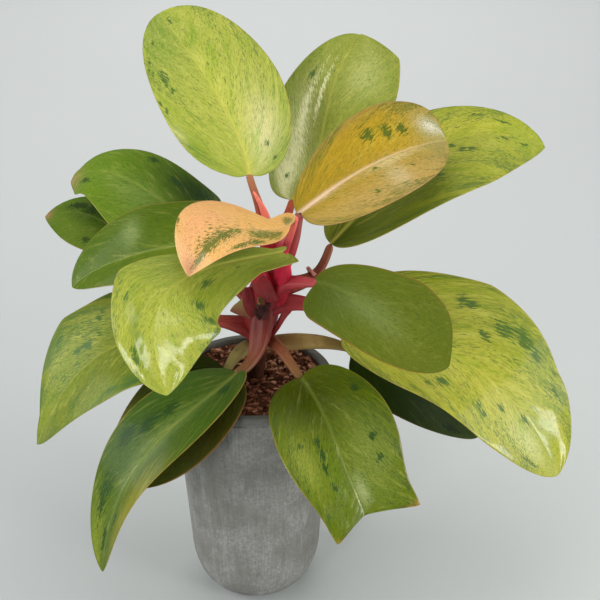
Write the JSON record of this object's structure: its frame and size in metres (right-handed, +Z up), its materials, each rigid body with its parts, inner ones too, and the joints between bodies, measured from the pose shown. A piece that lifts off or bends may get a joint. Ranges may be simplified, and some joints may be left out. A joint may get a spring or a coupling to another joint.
{
  "type": "potted red congo philodendron",
  "caption": "Variegated philodendron with glossy lime, green, gold and peach oval leaves on crimson stalks, in a tall round-bottomed grey concrete pot filled with bark soil.",
  "frame": {"origin": "centre of the pot's flat foot, on the surface it stands on", "axes": "+Z up along the pot's axis, -Y towards the viewer of the picture, +X to that viewer's right"},
  "size_m": [0.4044, 0.2729, 0.4342],
  "materials": {
    "concrete": "matt mottled grey concrete with fine pits and faint vertical streaks",
    "soil": "loose reddish-brown coir and bark chips",
    "stem_crimson": "satin crimson, browner near the soil",
    "sheath_salmon": "thin satin salmon-pink leaf sheath",
    "stalk_crimson": "satin crimson leaf stalk",
    "stalk_red_brown": "satin red-brown leaf stalk",
    "stalk_olive": "satin olive leaf stalk",
    "leaf_lime": "glossy lime leaf with dark green flecks and pale veins",
    "leaf_green": "glossy mid-green leaf with darker flecks",
    "leaf_dark": "satin dark green leaf with a warm thin margin",
    "leaf_gold": "glossy gold and tan leaf with a pink-cream midrib",
    "leaf_peach": "glossy peach leaf with a dark green band"
  },
  "bodies": {
    "root": {"pot": "concrete", "soil": "soil", "stem": "stem_crimson", "sheath": "sheath_salmon", "leaf_01_blade": "leaf_lime", "leaf_01_stalk": "stalk_red_brown", "leaf_02_blade": "leaf_lime", "leaf_02_stalk": "stalk_crimson", "leaf_03_blade": "leaf_gold", "leaf_03_stalk": "stalk_crimson", "leaf_04_blade": "leaf_lime", "leaf_04_stalk": "stalk_red_brown", "leaf_05_blade": "leaf_green", "leaf_05_stalk": "stalk_red_brown", "leaf_06_blade": "leaf_dark", "leaf_06_stalk": "stalk_red_brown", "leaf_07_blade": "leaf_green", "leaf_07_stalk": "stalk_red_brown", "leaf_08_blade": "leaf_peach", "leaf_08_stalk": "stalk_crimson", "leaf_09_blade": "leaf_lime", "leaf_09_stalk": "stalk_crimson", "leaf_10_blade": "leaf_lime", "leaf_10_stalk": "stalk_red_brown", "leaf_11_blade": "leaf_green", "leaf_11_stalk": "stalk_red_brown", "leaf_12_blade": "leaf_dark", "leaf_12_stalk": "stalk_olive", "leaf_13_blade": "leaf_green", "leaf_13_stalk": "stalk_olive", "leaf_14_blade": "leaf_dark", "leaf_14_stalk": "stalk_crimson", "leaf_15_blade": "leaf_lime", "leaf_15_stalk": "stalk_crimson", "leaf_16_blade": "leaf_dark", "leaf_16_stalk": "stalk_olive"}
  },
  "joints": []
}
